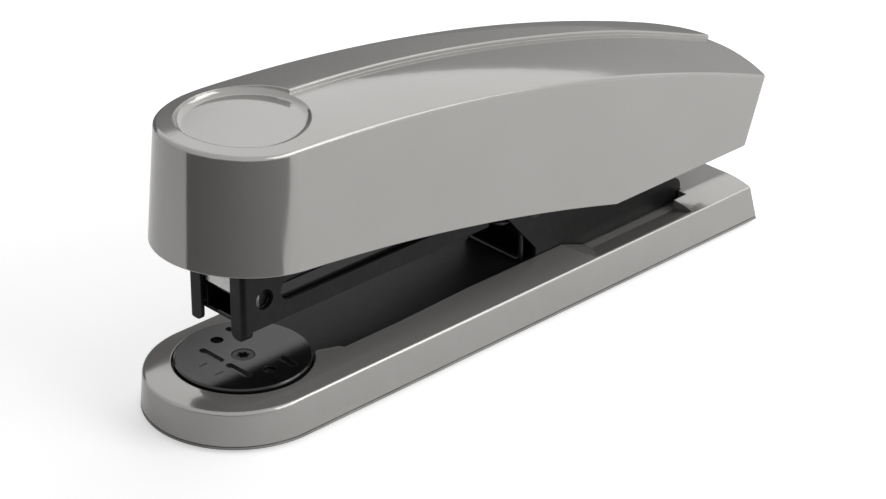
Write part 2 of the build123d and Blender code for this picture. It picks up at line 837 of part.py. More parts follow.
with BuildPart() as lift_spring:
    bar_height = plate_top + lift_wire_radius + lift_seat_gap
    hook_height = housing_floor_height - lift_wire_radius - lift_seat_gap
    leg_aft = stub_aft - lift_coil_radius
    add(
        wire(
            (
                (lift_x, aft(leg_aft), stub_height),
                (lift_x, aft(lift_bar_aft), bar_height),
                (-lift_x, aft(lift_bar_aft), bar_height),
                (-lift_x, aft(leg_aft), stub_height),
            ),
            lift_bend_radius,
            lift_wire_radius,
        )
    )
    for side in (-1, 1):
        add(
            wire(
                (
                    (side * (lift_x - lift_hook_length), aft(lift_hook_aft), hook_height),
                    (side * lift_x, aft(lift_hook_aft), hook_height),
                    (side * lift_x, aft(stub_aft), stub_height - lift_coil_radius),
                ),
                lift_bend_radius,
                lift_wire_radius,
            )
        )
        for turn in range(lift_coil_turns):
            shift = (turn - (lift_coil_turns - 1) / 2) * lift_coil_pitch
            with Locations(Location((side * lift_x + shift, aft(stub_aft), stub_height), (0, 90, 0))):
                Torus(lift_coil_radius, lift_wire_radius)
save(lift_spring, "lift_spring")


# ---------------------------------------------------------------- magazine
with BuildPart() as magazine_housing:
    with BuildSketch(Plane.XY.offset(prong_tip_height)):
        with Locations((0, aft(housing_front_aft))):
            Rectangle(
                2 * housing_half,
                housing_rear_aft - housing_front_aft,
                align=(Align.CENTER, Align.MIN),
            )
        fillet(vertices().group_by(Axis.Y)[0], radius=housing_bend_radius)
        with Locations((0, aft(housing_front_aft + housing_sheet))):
            Rectangle(
                2 * (housing_half - housing_sheet),
                2 * housing_rear_aft,
                align=(Align.CENTER, Align.MIN),
                mode=Mode.SUBTRACT,
            )
        with Locations((0, aft(housing_front_aft))):
            Rectangle(2 * housing_mouth_half, 4 * housing_sheet, mode=Mode.SUBTRACT)
    extrude(amount=housing_top_height - prong_tip_height)
    with BuildSketch(Plane.YZ):
        add(
            side_profile(
                (
                    (housing_front_aft, prong_tip_height),
                    (prong_rear_aft, prong_tip_height),
                    (prong_rear_aft, housing_floor_height),
                    (housing_rear_aft, housing_floor_height),
                    (housing_rear_aft, housing_rear_top_height),
                    (housing_top_rear_aft, housing_top_height),
                    (housing_front_aft, housing_top_height),
                )
            )
        )
    extrude(amount=base_width, both=True, mode=Mode.INTERSECT)
    with BuildSketch(Plane.XZ.offset(-aft(housing_front_aft))):
        for side in (-1, 1):
            with Locations((side * (housing_half + housing_mouth_half) / 2, prong_tip_height)):
                Rectangle(
                    housing_half - housing_mouth_half,
                    2 * (housing_floor_height - prong_tip_height),
                    align=(Align.CENTER, Align.MIN),
                )
        fillet(vertices().group_by(Axis.Y)[0], radius=prong_tip_radius)
        with Locations((0, housing_floor_height)):
            Rectangle(4 * housing_half, housing_top_height, align=(Align.CENTER, Align.MIN))
    extrude(amount=-(housing_rear_aft - housing_front_aft), mode=Mode.INTERSECT)
    with BuildSketch(Plane.XY.offset(housing_floor_height)):
        with Locations((0, aft(channel_front_aft))):
            Rectangle(
                2 * (housing_half - housing_sheet),
                housing_rear_aft - channel_front_aft,
                align=(Align.CENTER, Align.MIN),
            )
        with Locations(*[(0, aft(a)) for a in magazine_rivet_aft]):
            Circle(magazine_rivet_radius, mode=Mode.SUBTRACT)
    extrude(amount=housing_floor_thickness)
    with BuildSketch(Plane.YZ):
        window_middle = (window_front_aft + window_rear_aft) / 2
        with Locations((aft(window_middle), window_height)):
            SlotOverall(window_rear_aft - window_front_aft, window_width)
        with Locations((aft(sight_hole_aft), sight_hole_height)):
            Circle(sight_hole_radius)
    extrude(amount=base_width, both=True, mode=Mode.SUBTRACT)
save(magazine_housing, "magazine_housing")

with BuildPart() as staple_channel:
    with BuildSketch(Plane.YZ):
        add(
            side_profile(
                (
                    (channel_front_aft, channel_floor),
                    (channel_tail_aft, channel_floor),
                    (channel_tail_aft, channel_tall_height),
                    (channel_tall_aft, channel_tall_height),
                    (channel_step_up_aft, channel_wall_height),
                    (channel_front_aft, channel_wall_height),
                )
            )
        )
    extrude(amount=channel_half, both=True)
    with BuildSketch(Plane.XY.offset(staple_floor)):
        with Locations((0, aft(hinge_aft))):
            Rectangle(2 * channel_inner, 4 * hinge_aft)
    extrude(amount=base_width, mode=Mode.SUBTRACT)
    with BuildSketch(Plane.XY.offset(channel_floor)):
        with Locations(*[(0, aft(a)) for a in (*magazine_rivet_aft, holder_rivet_aft)]):
            Circle(magazine_rivet_radius)
    extrude(amount=channel_sheet, mode=Mode.SUBTRACT)
    with BuildSketch(Plane.YZ):
        with Locations((aft(sight_hole_aft), sight_hole_height)):
            Circle(sight_hole_radius)
        with Locations((aft(stop_pin_aft), stop_pin_height + stop_slot_travel / 2)):
            SlotCenterToCenter(stop_slot_travel, stop_slot_radius * 2, rotation=90)
        with Locations((aft(hinge_aft), hinge_height)):
            Circle(hinge_pin_radius + hinge_running_gap)
    extrude(amount=base_width, both=True, mode=Mode.SUBTRACT)
save(staple_channel, "staple_channel")

with BuildPart() as staple_rail:
    with BuildSketch(Plane.XZ.offset(-aft(rail_front_aft))):
        with Locations((0, staple_floor)):
            Rectangle(2 * rail_half, rail_top - staple_floor, align=(Align.CENTER, Align.MIN))
            Rectangle(
                2 * (rail_half - rail_sheet),
                rail_top - staple_floor - rail_sheet,
                align=(Align.CENTER, Align.MIN),
                mode=Mode.SUBTRACT,
            )
    extrude(amount=-(rail_rear_aft - rail_front_aft))
save(staple_rail, "staple_rail")

with BuildPart() as rod_holder:
    with BuildSketch(Plane.YZ):
        add(
            side_profile(
                (
                    (holder_front_aft, staple_floor),
                    (holder_front_aft + holder_foot_length, staple_floor),
                    (holder_front_aft + holder_foot_length, staple_floor + holder_foot_thickness),
                    (holder_front_aft + holder_thickness, staple_floor + holder_foot_thickness),
                    (holder_front_aft + holder_thickness, holder_top_height),
                    (holder_front_aft, holder_top_height),
                )
            )
        )
    extrude(amount=channel_inner - holder_side_gap, both=True)
    with Locations((0, aft(holder_rivet_aft), staple_floor)):
        Cylinder(magazine_rivet_radius, 4 * holder_foot_thickness, mode=Mode.SUBTRACT)
    with BuildSketch(Plane.XZ.offset(-aft(holder_front_aft))):
        with Locations((0, rod_height)):
            Circle(rod_radius)
    extrude(amount=-holder_thickness, mode=Mode.SUBTRACT)
save(rod_holder, "rod_holder")

with BuildPart() as magazine_rivets:
    rivet_stacks = [(a, housing_floor_height, staple_floor) for a in magazine_rivet_aft]
    rivet_stacks.append((holder_rivet_aft, channel_floor, staple_floor + holder_foot_thickness))
    for place_aft, low, high in rivet_stacks:
        with Locations((0, aft(place_aft), low)):
            Cylinder(magazine_rivet_radius, high - low, align=(Align.CENTER, Align.CENTER, Align.MIN))
            Cylinder(
                magazine_rivet_head_radius,
                magazine_rivet_head_height,
                align=(Align.CENTER, Align.CENTER, Align.MAX),
            )
        with Locations((0, aft(place_aft), high)):
            Cylinder(
                magazine_rivet_head_radius,
                magazine_rivet_head_height,
                align=(Align.CENTER, Align.CENTER, Align.MIN),
            )
save(magazine_rivets, "magazine_rivets")

with BuildPart() as guide_rod:
    with BuildSketch(Plane.XZ.offset(-aft(pusher_front_aft + rod_front_gap))):
        with Locations((0, rod_height)):
            Circle(rod_radius)
    extrude(amount=-(holder_front_aft + holder_thickness + rod_tail - pusher_front_aft - rod_front_gap))
save(guide_rod, "guide_rod")

with BuildPart() as staples:
    for place in range(staple_count):
        with BuildSketch(Plane.XZ.offset(-aft(staple_front_aft + place * staple_pitch))):
            with Locations((0, staple_bottom)):
                Rectangle(2 * staple_half, staple_leg, align=(Align.CENTER, Align.MIN))
                Rectangle(
                    2 * (staple_half - staple_wire),
                    staple_leg - staple_wire,
                    align=(Align.CENTER, Align.MIN),
                    mode=Mode.SUBTRACT,
                )
        extrude(amount=-staple_wire)
save(staples, "staples")

with BuildPart() as staple_pusher:
    with BuildSketch(Plane.XZ.offset(-aft(pusher_front_aft))):
        pusher_floor = staple_floor + pusher_floor_gap
        with Locations((0, pusher_floor)):
            Rectangle(
                2 * (channel_inner - pusher_side_gap),
                pusher_top_height - pusher_floor,
                align=(Align.CENTER, Align.MIN),
            )
            Rectangle(
                2 * (rail_half + pusher_rail_gap),
                rail_top + pusher_rail_gap - pusher_floor,
                align=(Align.CENTER, Align.MIN),
                mode=Mode.SUBTRACT,
            )
        fillet(vertices().group_by(Axis.Y)[-1], radius=housing_bend_radius)
        with Locations((0, rod_height)):
            Circle(rod_radius + rod_running_gap, mode=Mode.SUBTRACT)
    extrude(amount=-pusher_length)
save(staple_pusher, "staple_pusher")


def coil_tube(plane, length, coil_radius, wire_diameter, pitch):
    """Coil spring as a thin sleeve with one bead for each turn, standing on a plane."""
    turns = max(int(length / pitch), 2)
    step = (length - wire_diameter) / (turns - 1)
    with BuildPart() as coil:
        with BuildSketch(plane):
            Circle(coil_radius + coil_sleeve_share * wire_diameter / 2)
            Circle(coil_radius - coil_sleeve_share * wire_diameter / 2, mode=Mode.SUBTRACT)
        extrude(amount=length)
        for turn in range(turns):
            lift = wire_diameter / 2 + turn * step
            with Locations(plane.offset(lift).location):
                Torus(coil_radius, wire_diameter / 2)
    return coil.part


with BuildPart() as follower_spring:
    spring_start = Plane(
        origin=(0, aft(pusher_rear_aft), rod_height), x_dir=(1, 0, 0), z_dir=(0, 1, 0)
    )
    spring_length = holder_front_aft - pusher_rear_aft
    add(coil_tube(spring_start, spring_length, follower_coil_radius, follower_wire, follower_pitch))
save(follower_spring, "follower_spring")

# ---------------------------------------------------------------- cover
cover_nose_tip = cover_nose_aft - cover_top_half
cover_low_tip = cover_nose_aft - cover_low_half
cover_top_arc = circle_through(
    (cover_nose_tip, cover_nose_height),
    ((cover_nose_tip + cover_reach) / 2, cover_middle_height),
    (cover_reach, cover_tail_height),
)
cover_stations = [
    cover_nose_tip + share * (cover_reach + 2 * cover_station_margin - cover_nose_tip) - cover_station_margin
    for share in cover_station_shares
]
cover_edge_middle = ((cover_low_tip + cover_skirt_aft) / 2, cover_middle_edge_height)


def cover_edge_at(distance):
    """Height of the cover's top along its side edges, this far behind the nose centre."""
    centre_aft, centre_height, radius = cover_top_arc
    return centre_height + sqrt(radius**2 - (distance - centre_aft) ** 2)


def cover_crown_at(distance):
    """How far the middle of the cover's top stands above its side edges."""
    share = min(1, (distance - cover_nose_tip) / cover_crown_run)
    return cover_nose_crown + share * (cover_crown - cover_nose_crown)


def cover_raise_at(distance):
    """How far the raised side stands above the low side, fading in from the nose."""
    share = (distance - cover_ramp_start_aft) / (cover_ramp_end_aft - cover_ramp_start_aft)
    share = min(1, max(0, share))
    return cover_nose_raise + share**2 * (3 - 2 * share) * (cover_raise - cover_nose_raise)


def crowned_block(lift, raised):
    """Block under the crowned top of the cover, or of its raised side, lifted by an amount."""
    with BuildPart() as block:
        for place in cover_stations:
            edge = cover_edge_at(place) + lift + (cover_raise_at(place) if raised else 0)
            crown = cover_crown_at(place)
            crown_radius = (cover_top_half**2 + crown**2) / (2 * crown)
            side = edge + crown - crown_radius + sqrt(crown_radius**2 - base_half**2)
            with BuildSketch(Plane.XZ.offset(-aft(place))):
                with BuildLine():
                    Polyline((-base_half, side), (-base_half, 0), (base_half, 0), (base_half, side))
                    ThreePointArc((base_half, side), (0, edge + crown), (-base_half, side))
                make_face()
        loft()
    return block.part


def cover_body(inset):
    """Drafted body of the cover, cut to its side outline, shrunk inwards by an inset."""
    top_height = cover_tail_height + cover_nose_height
    rise = top_height - cover_skirt_height
    top_half = cover_low_half - cover_draft * rise
    low_rear = cover_tail_foot_aft - inset
    tail_rise = cover_tail_height - cover_skirt_height
    top_bow = cover_foot_bow + (cover_tail_bow - cover_foot_bow) * rise / tail_rise
    with BuildPart() as body:
        with BuildSketch(Plane.XY.offset(cover_skirt_height)):
            add(tongue(cover_low_half - inset, cover_nose_aft, low_rear, cover_foot_bow))
        with BuildSketch(Plane.XY.offset(top_height)):
            top_rear = low_rear + cover_tail_lean * rise
            add(tongue(top_half - inset, cover_nose_aft, top_rear, top_bow))
        loft(ruled=True)
        with BuildSketch(Plane.YZ):
            with BuildLine():
                edge_start = (aft(cover_low_tip), cover_front_edge_height)
                edge_end = (aft(cover_skirt_aft), cover_skirt_height)
                middle = (aft(cover_edge_middle[0]), cover_edge_middle[1])
                ThreePointArc(edge_start, middle, edge_end)
                Polyline(
                    edge_end,
                    (aft(2 * cover_reach), cover_skirt_height),
                    (aft(2 * cover_reach), 2 * cover_nose_height),
                    (aft(cover_low_tip), 2 * cover_nose_height),
                    edge_start,
                )
            make_face()
        extrude(amount=base_width, both=True, mode=Mode.INTERSECT)
    return body.part


def dish_cut():
    """Shallow round thumb dish with a level floor and a soft floor edge."""
    across = (1, 0, 0)
    up = Vector(0, 0, 1)
    middle = (0, aft(dish_aft), cover_edge_at(dish_aft) + cover_crown_at(dish_aft))
    floor_radius = dish_radius - dish_floor_fillet
    wall_foot = dish_floor_fillet - dish_depth
    above = cover_crown + cover_raise
    with BuildPart() as dish:
        with BuildSketch(Plane(origin=middle, x_dir=across, z_dir=Vector(across).cross(up))):
            with BuildLine():
                floor = Line((0, -dish_depth), (floor_radius, -dish_depth))
                TangentArc(floor @ 1, (dish_radius, wall_foot), tangent=floor % 1)
                Polyline((dish_radius, wall_foot), (dish_radius, above), (0, above), (0, -dish_depth))
            make_face()
        revolve(axis=Axis(middle, up))
    return dish.part


def rounded_cover(raised):
    """Outer form of the cover with its tail corners and its top edge rounded."""
    with BuildPart() as form:
        add(cover_body(0))
        add(crowned_block(0, raised), mode=Mode.INTERSECT)
        tail_corners = [
            edge
            for edge in form.edges()
            if edge.center().Y > aft(cover_tail_foot_aft) and abs(edge.center().X) > tail_notch_half
        ]
        fillet(tail_corners, radius=cover_tail_radius)
        fillet(form.faces().sort_by(Axis.Z)[-1].edges(), radius=cover_edge_radius)
    return form.part


with BuildPart() as cover_raised_side:
    add(rounded_cover(True))
    with BuildSketch(Plane.YZ.offset(cover_step_x)):
        Rectangle(4 * base_length, 4 * cover_nose_height)
    extrude(amount=-base_width, mode=Mode.INTERSECT)
    step_edges = [
        edge
        for edge in cover_raised_side.edges()
        if abs(edge.center().X - cover_step_x) < pick_tolerance and edge.center().Z > cover_tail_height
    ]
    fillet(step_edges, radius=cover_step_edge_radius)

with BuildPart() as cover_inside:
    add(cover_body(cover_wall))
    add(crowned_block(-cover_wall, False), mode=Mode.INTERSECT)

with BuildPart() as cover_bosses:
    for place in boss_aft:
        with BuildSketch(Plane.XY.offset(web_top(place) + boss_radius * frame_slope)):
            with Locations((0, aft(place))):
                Circle(boss_radius)
        extrude(amount=cover_nose_height)
    add(cover_body(cover_wall), mode=Mode.INTERSECT)
    add(crowned_block(-cover_wall / 2, False), mode=Mode.INTERSECT)

with BuildPart() as cover_shell:
    add(rounded_cover(False))
    add(cover_raised_side.part)
    add(dish_cut(), mode=Mode.SUBTRACT)
    add(cover_inside.part, mode=Mode.SUBTRACT)
    add(cover_bosses.part)
    for place in boss_aft:
        with Locations((0, aft(place), web_top(place))):
            Cylinder(
                cover_screw_radius,
                cover_screw_length,
                align=(Align.CENTER, Align.CENTER, Align.MIN),
                mode=Mode.SUBTRACT,
            )
    with Locations((0, aft(cover_reach), cover_skirt_height)):
        Box(
            2 * tail_notch_half,
            2 * (cover_reach - cover_tail_foot_aft + 2 * cover_wall),
            2 * (tail_notch_height - cover_skirt_height),
            mode=Mode.SUBTRACT,
        )
save(cover_shell, "cover_shell")

with BuildPart() as cover_frame:
    web_line = (
        (frame_front_aft, web_top(frame_front_aft)),
        (frame_rear_aft, web_top(frame_rear_aft)),
    )
    (front, front_top), (rear, rear_top) = web_line
    with BuildSketch(Plane.YZ):
        add(
            side_profile(
                (
                    (front, front_top),
                    (rear, rear_top),
                    (rear, hinge_height),
                    (frame_belly_aft, frame_belly_height),
                    (front + frame_side_drop, front_top - frame_side_drop),
                    (front, front_top - frame_side_drop),
                )
            )
        )
        with Locations((aft(hinge_aft), hinge_height)):
            Circle(hinge_ear_radius)
    extrude(amount=frame_half, both=True)
    with BuildSketch(Plane.YZ):
        add(
            side_profile(
                (
                    (front - frame_sheet, front_top - frame_sheet + frame_slope * frame_sheet),
                    (rear + frame_sheet, rear_top - frame_sheet - frame_slope * frame_sheet),
                    (rear + frame_sheet, 0),
                    (front - frame_sheet, 0),
                )
            )
        )
    extrude(amount=frame_inner, both=True, mode=Mode.SUBTRACT)
    with Locations((0, aft(front), front_top - frame_sheet / 2)):
        Box(
            2 * driver_tab_half,
            frame_sheet,
            driver_tab_drop - frame_sheet / 2,
            align=(Align.CENTER, Align.MIN, Align.MAX),
        )
    add(cross_hole(hinge_aft, hinge_height, hinge_pin_radius + hinge_running_gap), mode=Mode.SUBTRACT)
    for place in boss_aft:
        with Locations((0, aft(place), web_top(place))):
            Cylinder(cover_screw_radius, 4 * frame_sheet, mode=Mode.SUBTRACT)
    with BuildSketch(Plane.XZ.offset(-aft(front))):
        rivet_height = front_top - driver_rivet_drop
        with Locations((-driver_rivet_offset, rivet_height), (driver_rivet_offset, rivet_height)):
            Circle(driver_rivet_radius)
    extrude(amount=-frame_sheet, mode=Mode.SUBTRACT)
save(cover_frame, "cover_frame")

with BuildPart() as driver_blade:
    blade_top = frame_front_height - driver_top_margin
    with BuildSketch(Plane.XZ.offset(-aft(frame_front_aft))):
        with Locations((0, driver_bottom)):
            Rectangle(2 * driver_half, driver_foot_height, align=(Align.CENTER, Align.MIN))
            Rectangle(2 * driver_neck_half, blade_top - driver_bottom, align=(Align.CENTER, Align.MIN))
        with Locations((-driver_rivet_offset, rivet_height), (driver_rivet_offset, rivet_height)):
            Circle(driver_rivet_radius, mode=Mode.SUBTRACT)
    extrude(amount=driver_thickness)
save(driver_blade, "driver_blade")

with BuildPart() as driver_rivets:
    for side in (-1, 1):
        shank_front = Plane(
            origin=(side * driver_rivet_offset, aft(frame_front_aft) - driver_thickness, rivet_height),
            x_dir=(1, 0, 0),
            z_dir=(0, 1, 0),
        )
        with BuildSketch(shank_front):
            Circle(driver_rivet_radius)
        extrude(amount=driver_thickness + frame_sheet)
        rear_head = shank_front.offset(driver_thickness + frame_sheet + driver_rivet_head_height)
        with BuildSketch(shank_front, rear_head):
            Circle(driver_rivet_head_radius)
        extrude(amount=-driver_rivet_head_height)
save(driver_rivets, "driver_rivets")

with BuildPart() as cover_screws:
    for place in boss_aft:
        seat = web_top(place) - frame_sheet - cover_screw_head_radius * frame_slope
        with Locations((0, aft(place), seat)):
            Cylinder(
                cover_screw_radius,
                cover_screw_length + frame_sheet,
                align=(Align.CENTER, Align.CENTER, Align.MIN),
            )
            Cylinder(
                cover_screw_head_radius,
                cover_screw_head_height,
                align=(Align.CENTER, Align.CENTER, Align.MAX),
            )
save(cover_screws, "cover_screws")

with BuildPart() as cover_spring:
    spring_top = web_top(cover_spring_aft + cover_spring_radius) - frame_sheet - cover_spring_gap
    spring_seat = Plane.XY.offset(staple_floor).move(Location((0, aft(cover_spring_aft), 0)))
    spring_height = spring_top - staple_floor
    add(coil_tube(spring_seat, spring_height, cover_spring_radius, cover_spring_wire, cover_spring_pitch))
save(cover_spring, "cover_spring")
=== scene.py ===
import json
import math

import bpy
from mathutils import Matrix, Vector


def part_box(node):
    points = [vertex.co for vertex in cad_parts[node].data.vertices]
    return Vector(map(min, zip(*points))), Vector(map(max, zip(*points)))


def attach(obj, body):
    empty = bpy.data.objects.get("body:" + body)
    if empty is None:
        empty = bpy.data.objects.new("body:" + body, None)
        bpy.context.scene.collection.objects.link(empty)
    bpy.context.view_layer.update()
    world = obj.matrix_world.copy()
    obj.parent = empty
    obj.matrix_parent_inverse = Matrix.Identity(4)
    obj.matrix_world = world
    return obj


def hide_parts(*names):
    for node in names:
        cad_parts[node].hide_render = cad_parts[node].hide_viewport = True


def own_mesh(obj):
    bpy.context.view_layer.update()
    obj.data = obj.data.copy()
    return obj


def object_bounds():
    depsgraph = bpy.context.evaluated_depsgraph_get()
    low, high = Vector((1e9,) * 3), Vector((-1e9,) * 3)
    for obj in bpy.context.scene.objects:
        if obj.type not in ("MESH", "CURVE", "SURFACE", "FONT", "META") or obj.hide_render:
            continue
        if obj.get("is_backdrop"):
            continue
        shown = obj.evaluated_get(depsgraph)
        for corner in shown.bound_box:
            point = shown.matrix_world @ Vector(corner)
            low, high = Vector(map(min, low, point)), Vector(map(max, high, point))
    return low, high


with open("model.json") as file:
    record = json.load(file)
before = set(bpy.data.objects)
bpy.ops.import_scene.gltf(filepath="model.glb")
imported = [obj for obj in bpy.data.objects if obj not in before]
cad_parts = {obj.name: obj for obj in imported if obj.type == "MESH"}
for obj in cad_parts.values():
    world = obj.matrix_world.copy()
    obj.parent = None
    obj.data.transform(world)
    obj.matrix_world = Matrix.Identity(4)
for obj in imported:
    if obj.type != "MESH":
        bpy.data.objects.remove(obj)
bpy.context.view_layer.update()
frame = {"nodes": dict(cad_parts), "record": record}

MM = 0.001
MIX_COLOUR_A, MIX_COLOUR_B, MIX_COLOUR_OUT = 6, 7, 2
scene = bpy.context.scene
nodes = frame["nodes"]


# ---------------------------------------------------------------- helpers for materials
class Shading:
    """One node material, with short ways to add the nodes that the finishes share."""

    def __init__(self, name):
        self.material = bpy.data.materials.new(name)
        self.material.use_nodes = True
        self.tree = self.material.node_tree
        self.surface = self.tree.nodes["Principled BSDF"]
        self.place = self.add("ShaderNodeTexCoord").outputs["Object"]

    def add(self, kind, **settings):
        node = self.tree.nodes.new(kind)
        for key, value in settings.items():
            setattr(node, key, value)
        return node

    def feed(self, socket, value):
        if isinstance(value, bpy.types.NodeSocket):
            self.tree.links.new(value, socket)
        else:
            socket.default_value = value

    def stretched(self, scale):
        """Object coordinates with a different scale along each axis."""
        node = self.add("ShaderNodeMapping")
        self.feed(node.inputs["Vector"], self.place)
        self.feed(node.inputs["Scale"], scale)
        return node.outputs["Vector"]

    def noise(self, size, detail=3.0, roughness=0.5, place=None):
        """Soft noise whose blotches are about this many metres across, from 0 to 1."""
        node = self.add("ShaderNodeTexNoise")
        self.feed(node.inputs["Vector"], place or self.place)
        self.feed(node.inputs["Scale"], 1 / size)
        self.feed(node.inputs["Detail"], detail)
        self.feed(node.inputs["Roughness"], roughness)
        return node.outputs["Fac"]

    def remap(self, value, low, high, to_low=0.0, to_high=1.0):
        node = self.add("ShaderNodeMapRange")
        for key, number in zip(("Value", "From Min", "From Max", "To Min", "To Max"),
                               (value, low, high, to_low, to_high)):
            self.feed(node.inputs[key], number)
        return node.outputs["Result"]

    def math(self, operation, first, second):
        node = self.add("ShaderNodeMath", operation=operation)
        self.feed(node.inputs[0], first)
        self.feed(node.inputs[1], second)
        return node.outputs[0]

    def mix(self, amount, first, second):
        """Blend of two colours."""
        node = self.add("ShaderNodeMix", data_type="RGBA")
        self.feed(node.inputs["Factor"], amount)
        self.feed(node.inputs[MIX_COLOUR_A], first)
        self.feed(node.inputs[MIX_COLOUR_B], second)
        return node.outputs[MIX_COLOUR_OUT]

    def bump(self, height, distance, strength, below=None):
        node = self.add("ShaderNodeBump")
        self.feed(node.inputs["Height"], height)
        self.feed(node.inputs["Distance"], distance)
        self.feed(node.inputs["Strength"], strength)
        if below is not None:
            self.feed(node.inputs["Normal"], below)
        return node.outputs["Normal"]

    def rounded(self, radius, samples):
        """Normal that rounds sharp edges to the eye by this radius."""
        node = self.add("ShaderNodeBevel", samples=samples)
        self.feed(node.inputs["Radius"], radius)
        return node.outputs["Normal"]

    def edges(self, low=0.52, high=0.60):
        """1 on worn outer edges, 0 elsewhere."""
        return self.remap(self.add("ShaderNodeNewGeometry").outputs["Pointiness"], low, high)

    def set(self, **values):
        for key, value in values.items():
            self.feed(self.surface.inputs[key.replace("_", " ")], value)
        return self.material


def grey(level, warm=0.0):
    """A neutral colour, made a little warmer or cooler."""
    return (level * (1 + warm), level, level * (1 - warm), 1.0)


# ---------------------------------------------------------------- finishes
pearl_dark = (0.392, 0.381, 0.366, 1)
pearl_light = (0.424, 0.414, 0.400, 1)
pearl_rubbed = (0.52, 0.515, 0.50, 1)
rubbed_share = 0.25
bare_steel_level = 0.42


def pearl_plastic(name):
    """Glossy moulded plastic in warm mid grey, with a fine pearl in it."""
    s = Shading(name)
    cloud = s.noise(0.030, 2.0)
    fleck = s.noise(0.00022, 1.0)
    wear = s.noise(0.006, 5.0, 0.7)
    tone = s.math("ADD", s.math("MULTIPLY", cloud, 0.5), s.math("MULTIPLY", fleck, 0.5))
    colour = s.mix(s.remap(tone, 0.3, 0.7), pearl_dark, pearl_light)
    rubbed = s.math("MULTIPLY", s.edges(), s.remap(wear, 0.45, 0.75))
    colour = s.mix(s.math("MULTIPLY", rubbed, rubbed_share), colour, pearl_rubbed)
    hair = s.noise(0.0009, 2.0, 0.6, s.stretched((6.0, 0.35, 6.0)))
    peel = s.noise(0.0016, 2.0)
    rough = s.remap(wear, 0.3, 0.8, 0.095, 0.135)
    rough = s.math("ADD", rough, s.remap(hair, 0.70, 0.78, 0.0, 0.05))
    normal = s.bump(peel, 0.008 * MM, 0.4, s.rounded(0.35 * MM, 8))
    return s.set(Base_Color=colour, Roughness=rough, Metallic=0.5, Normal=normal,
                 Coat_Weight=0.3, Coat_Roughness=0.04)


def coated_steel(name, level, gloss, worn, shine=0.35):
    """Sheet steel with a thin dark coat, worn to bare metal along its edges."""
    s = Shading(name)
    cloud = s.noise(0.014, 3.0)
    scuff = s.noise(0.0011, 4.0, 0.65, s.stretched((5.0, 0.6, 5.0)))
    grain = s.noise(0.00016, 1.0)
    colour = s.mix(s.remap(cloud, 0.3, 0.7), grey(level * 0.9), grey(level * 1.12))
    colour = s.mix(s.remap(scuff, 0.70, 0.82, 0.0, 0.15), colour, grey(level * 1.8 + 0.004))
    bare = s.math("MULTIPLY", s.edges(0.57, 0.68), s.remap(s.noise(0.0025, 4.0, 0.7), 0.5, 0.72))
    bare = s.math("MULTIPLY", bare, worn)
    colour = s.mix(bare, colour, grey(bare_steel_level))
    rough = s.remap(cloud, 0.25, 0.75, gloss - 0.02, gloss + 0.03)
    rough = s.math("ADD", rough, s.remap(scuff, 0.68, 0.82, 0.0, 0.05))
    normal = s.bump(grain, 0.006 * MM, 0.3, s.rounded(0.2 * MM, 6))
    return s.set(Base_Color=colour, Roughness=rough, Metallic=bare, Normal=normal,
                 Specular_IOR_Level=shine)


def bright_steel(name, level=0.62, gloss=0.26, brushed=(1.0, 0.08, 1.0)):
    """Bare or zinc-plated steel with fine brush marks and dull patches."""
    s = Shading(name)
    cloud = s.noise(0.004, 4.0, 0.6)
    lines = s.noise(0.00025, 3.0, 0.6, s.stretched(brushed))
    colour = s.mix(s.remap(cloud, 0.3, 0.7), grey(level * 0.82, 0.01), grey(level * 1.08, 0.01))
    colour = s.mix(s.remap(lines, 0.55, 0.75, 0.0, 0.3), colour, grey(level * 0.55))
    rough = s.remap(cloud, 0.25, 0.75, gloss - 0.05, gloss + 0.1)
    normal = s.bump(lines, 0.000010, 0.5)
    return s.set(Base_Color=colour, Roughness=rough, Metallic=1.0, Normal=normal)


def moulded(name, colour, gloss=0.5, size=0.0004):
    """Plain moulded plastic or rubber with a fine eroded texture."""
    s = Shading(name)
    cloud = s.noise(0.008, 3.0)
    grain = s.noise(size, 3.0, 0.6)
    light = tuple(min(1.0, c * 1.18) for c in colour) + (1,)
    dark = tuple(c * 0.86 for c in colour) + (1,)
    tone = s.mix(s.remap(cloud, 0.3, 0.7), dark, light)
    rough = s.remap(grain, 0.3, 0.7, gloss - 0.08, gloss + 0.1)
    normal = s.bump(grain, 0.000020, 0.45)
    return s.set(Base_Color=tone, Roughness=rough, Normal=normal)


finishes = {
    "grey_shell": pearl_plastic("grey_shell"),
    "sole_rubber": moulded("sole_rubber", (0.28, 0.274, 0.265), 0.5, 0.0006),
    "dark_steel": coated_steel("dark_steel", 0.009, 0.38, 0.05, 0.2),
    "black_steel": coated_steel("black_steel", 0.006, 0.13, 0.03, 0.5),
    "blackened_steel": coated_steel("blackened_steel", 0.014, 0.28, 0.2),
    "bright_steel": bright_steel("bright_steel"),
    "spring_wire": bright_steel("spring_wire", 0.5, 0.3, (1.0, 1.0, 1.0)),
    "white_nylon": moulded("white_nylon", (0.66, 0.65, 0.61), 0.42),
    "black_plastic": moulded("black_plastic", (0.018, 0.018, 0.019), 0.42),
}

for part in frame["record"]["subparts"]:
    mesh = nodes[part["node"]].data
    mesh.materials.clear()
    mesh.materials.append(finishes[part["material_slot"]])


